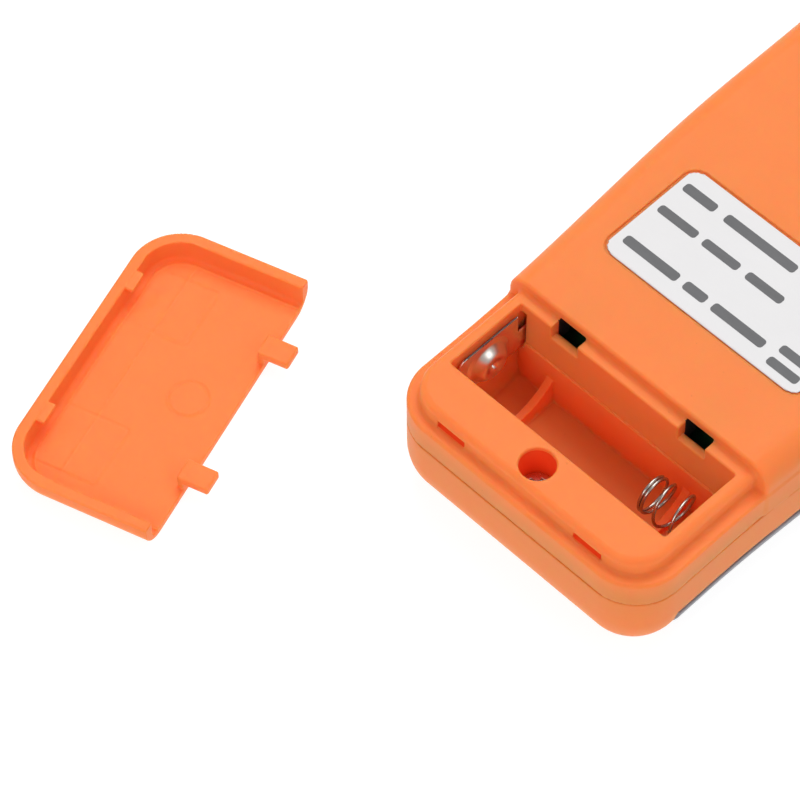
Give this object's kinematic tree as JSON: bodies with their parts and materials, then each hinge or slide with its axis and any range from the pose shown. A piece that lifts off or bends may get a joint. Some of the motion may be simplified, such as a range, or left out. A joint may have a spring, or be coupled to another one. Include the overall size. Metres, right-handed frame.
{
  "type": "stud finder",
  "caption": "Slim hand-held stud finder lying on its front, battery compartment open on its back, with its loose battery door beside it, inside up.",
  "frame": {"origin": "middle of the flat front face, which the finder lies on", "axes": "+X across the case towards the scan button's side, +Y from the battery end to the sensing end, +Z out of the back face"},
  "size_m": [0.0809, 0.1709, 0.0175],
  "materials": {
    "orange_case": "fine moulded matte, orange",
    "grey_bezel": "fine matte, grey",
    "label": "satin printed sticker, white",
    "nickel": "nickel plated spring steel",
    "screw_steel": "zinc plated steel",
    "copper": "bright copper",
    "circuit_board": "green solder mask",
    "black_plastic": "matte black",
    "white_plastic": "matte white",
    "led_lens": "tinted clear epoxy",
    "clear_window": "smoked clear acrylic",
    "red_insulation": "red wire insulation"
  },
  "bodies": {
    "case": {"back_shell": "orange_case", "front_shell": "orange_case", "front_bezel": "grey_bezel", "rating_label": "label", "positive_contact": "nickel", "spring_contact_plate": "nickel", "battery_spring": "nickel", "case_screw_end": "screw_steel", "case_screw_left": "screw_steel", "case_screw_right": "screw_steel", "main_board": "circuit_board", "controller_chip": "black_plastic", "amplifier_chip": "black_plastic", "buzzer": "black_plastic", "search_coil_bobbin": "black_plastic", "search_coil": "copper", "sensor_plate_left": "copper", "sensor_plate_right": "copper", "indicator_led_1": "led_lens", "indicator_led_2": "led_lens", "indicator_led_3": "led_lens", "indicator_led_4": "led_lens", "indicator_led_5": "led_lens", "indicator_window": "clear_window", "scan_switch_body": "black_plastic", "mode_switch_body": "nickel", "battery_lead_positive": "red_insulation", "battery_lead_negative": "black_plastic"},
    "door": {"battery_door": "orange_case"},
    "scan_button": {"scan_button": "grey_bezel"},
    "switch_plunger": {"scan_switch_plunger": "white_plastic"},
    "mode_slider": {"mode_slider": "black_plastic"},
    "spring_tip": {"battery_spring_tip": "nickel"}
  },
  "joints": [
    {"name": "battery_door_turn", "type": "hinge", "parent": "case", "child": "door", "pos_m": [-0.05434, -0.08428, 0.00195], "axis": [0.309, -0.9511, 0], "range_deg": [0, 180]},
    {"name": "scan_button_press", "type": "slide", "parent": "case", "child": "scan_button", "axis": [-1, 0, 0], "range_m": [0, 0.0007], "stiffness_N_per_m": 1500, "springref_m": -0.0003},
    {"name": "scan_plunger_press", "type": "slide", "parent": "case", "child": "switch_plunger", "axis": [-1, 0, 0], "range_m": [0, 0.0007]},
    {"name": "mode_slide", "type": "slide", "parent": "case", "child": "mode_slider", "axis": [0, 1, 0], "range_m": [-0.002, 0.002]},
    {"name": "battery_spring_press", "type": "slide", "parent": "case", "child": "spring_tip", "axis": [1, 0, 0], "range_m": [0, 0.0047], "stiffness_N_per_m": 300, "deforming": ["battery_spring"]}
  ],
  "couplings": [
    {"joint": "scan_plunger_press", "follows": "scan_button_press", "ratio": 1}
  ]
}
